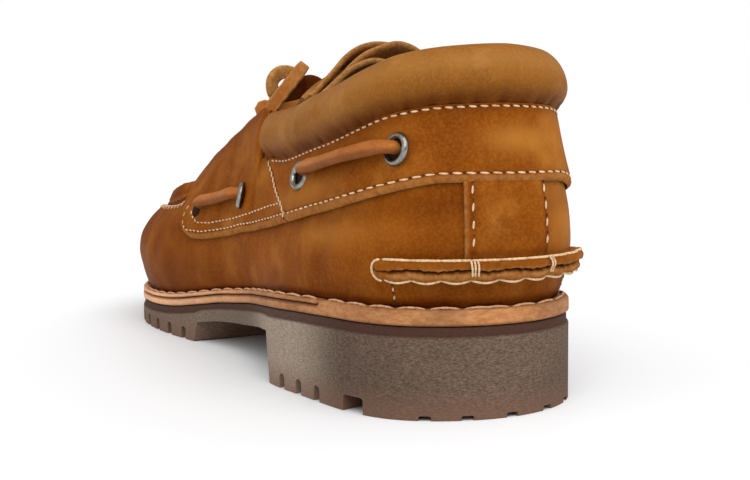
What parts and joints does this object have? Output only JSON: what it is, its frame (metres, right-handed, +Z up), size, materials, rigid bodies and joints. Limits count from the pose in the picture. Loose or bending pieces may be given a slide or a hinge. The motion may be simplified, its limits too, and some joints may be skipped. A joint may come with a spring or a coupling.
{
  "type": "lug-sole boat shoe",
  "caption": "Left hand-sewn moccasin boat shoe in tan leather on a tall lug rubber sole, with a padded collar, open for a foot, and rawhide lacing through side eyelets to a bow.",
  "frame": {"origin": "on the floor plane, under the middle of the shoe's footprint, its loose laces left out", "axes": "+Z up from the floor, +Y from the heel to the toe, +X towards the inner side of the foot"},
  "size_m": [0.107, 0.3042, 0.1166],
  "materials": {
    "rubber": "matt, lightly sanded",
    "sole_leather": "natural, smooth",
    "upper_leather": "oiled, satin, rubbed lighter on the ridges",
    "insole_leather": "matt",
    "eyelet_metal": "antique nickel plate, dull",
    "lace_leather": "waxed rawhide, satin"
  },
  "bodies": {
    "root": {"outsole": "rubber", "midsole": "sole_leather", "welt": "sole_leather", "insole": "insole_leather", "upper": "upper_leather", "tongue": "upper_leather", "plug": "upper_leather", "quarter_band": "upper_leather", "saddle_lateral": "upper_leather", "saddle_medial": "upper_leather", "collar": "upper_leather", "heel_strip": "upper_leather", "heel_kicker": "upper_leather", "eyelet_lateral_rear": "eyelet_metal", "eyelet_lateral_mid": "eyelet_metal", "eyelet_lateral_saddle": "eyelet_metal", "side_lace_lateral_rear": "lace_leather", "side_lace_lateral_front": "lace_leather", "eyelet_medial_rear": "eyelet_metal", "eyelet_medial_mid": "eyelet_metal", "eyelet_medial_saddle": "eyelet_metal", "side_lace_medial_rear": "lace_leather", "side_lace_medial_front": "lace_leather", "lace_crossing": "lace_leather", "lace_knot": "lace_leather", "bow_loop_lateral": "lace_leather", "bow_loop_medial": "lace_leather", "lace_end_lateral": "lace_leather", "lace_end_medial": "lace_leather"}
  },
  "joints": []
}
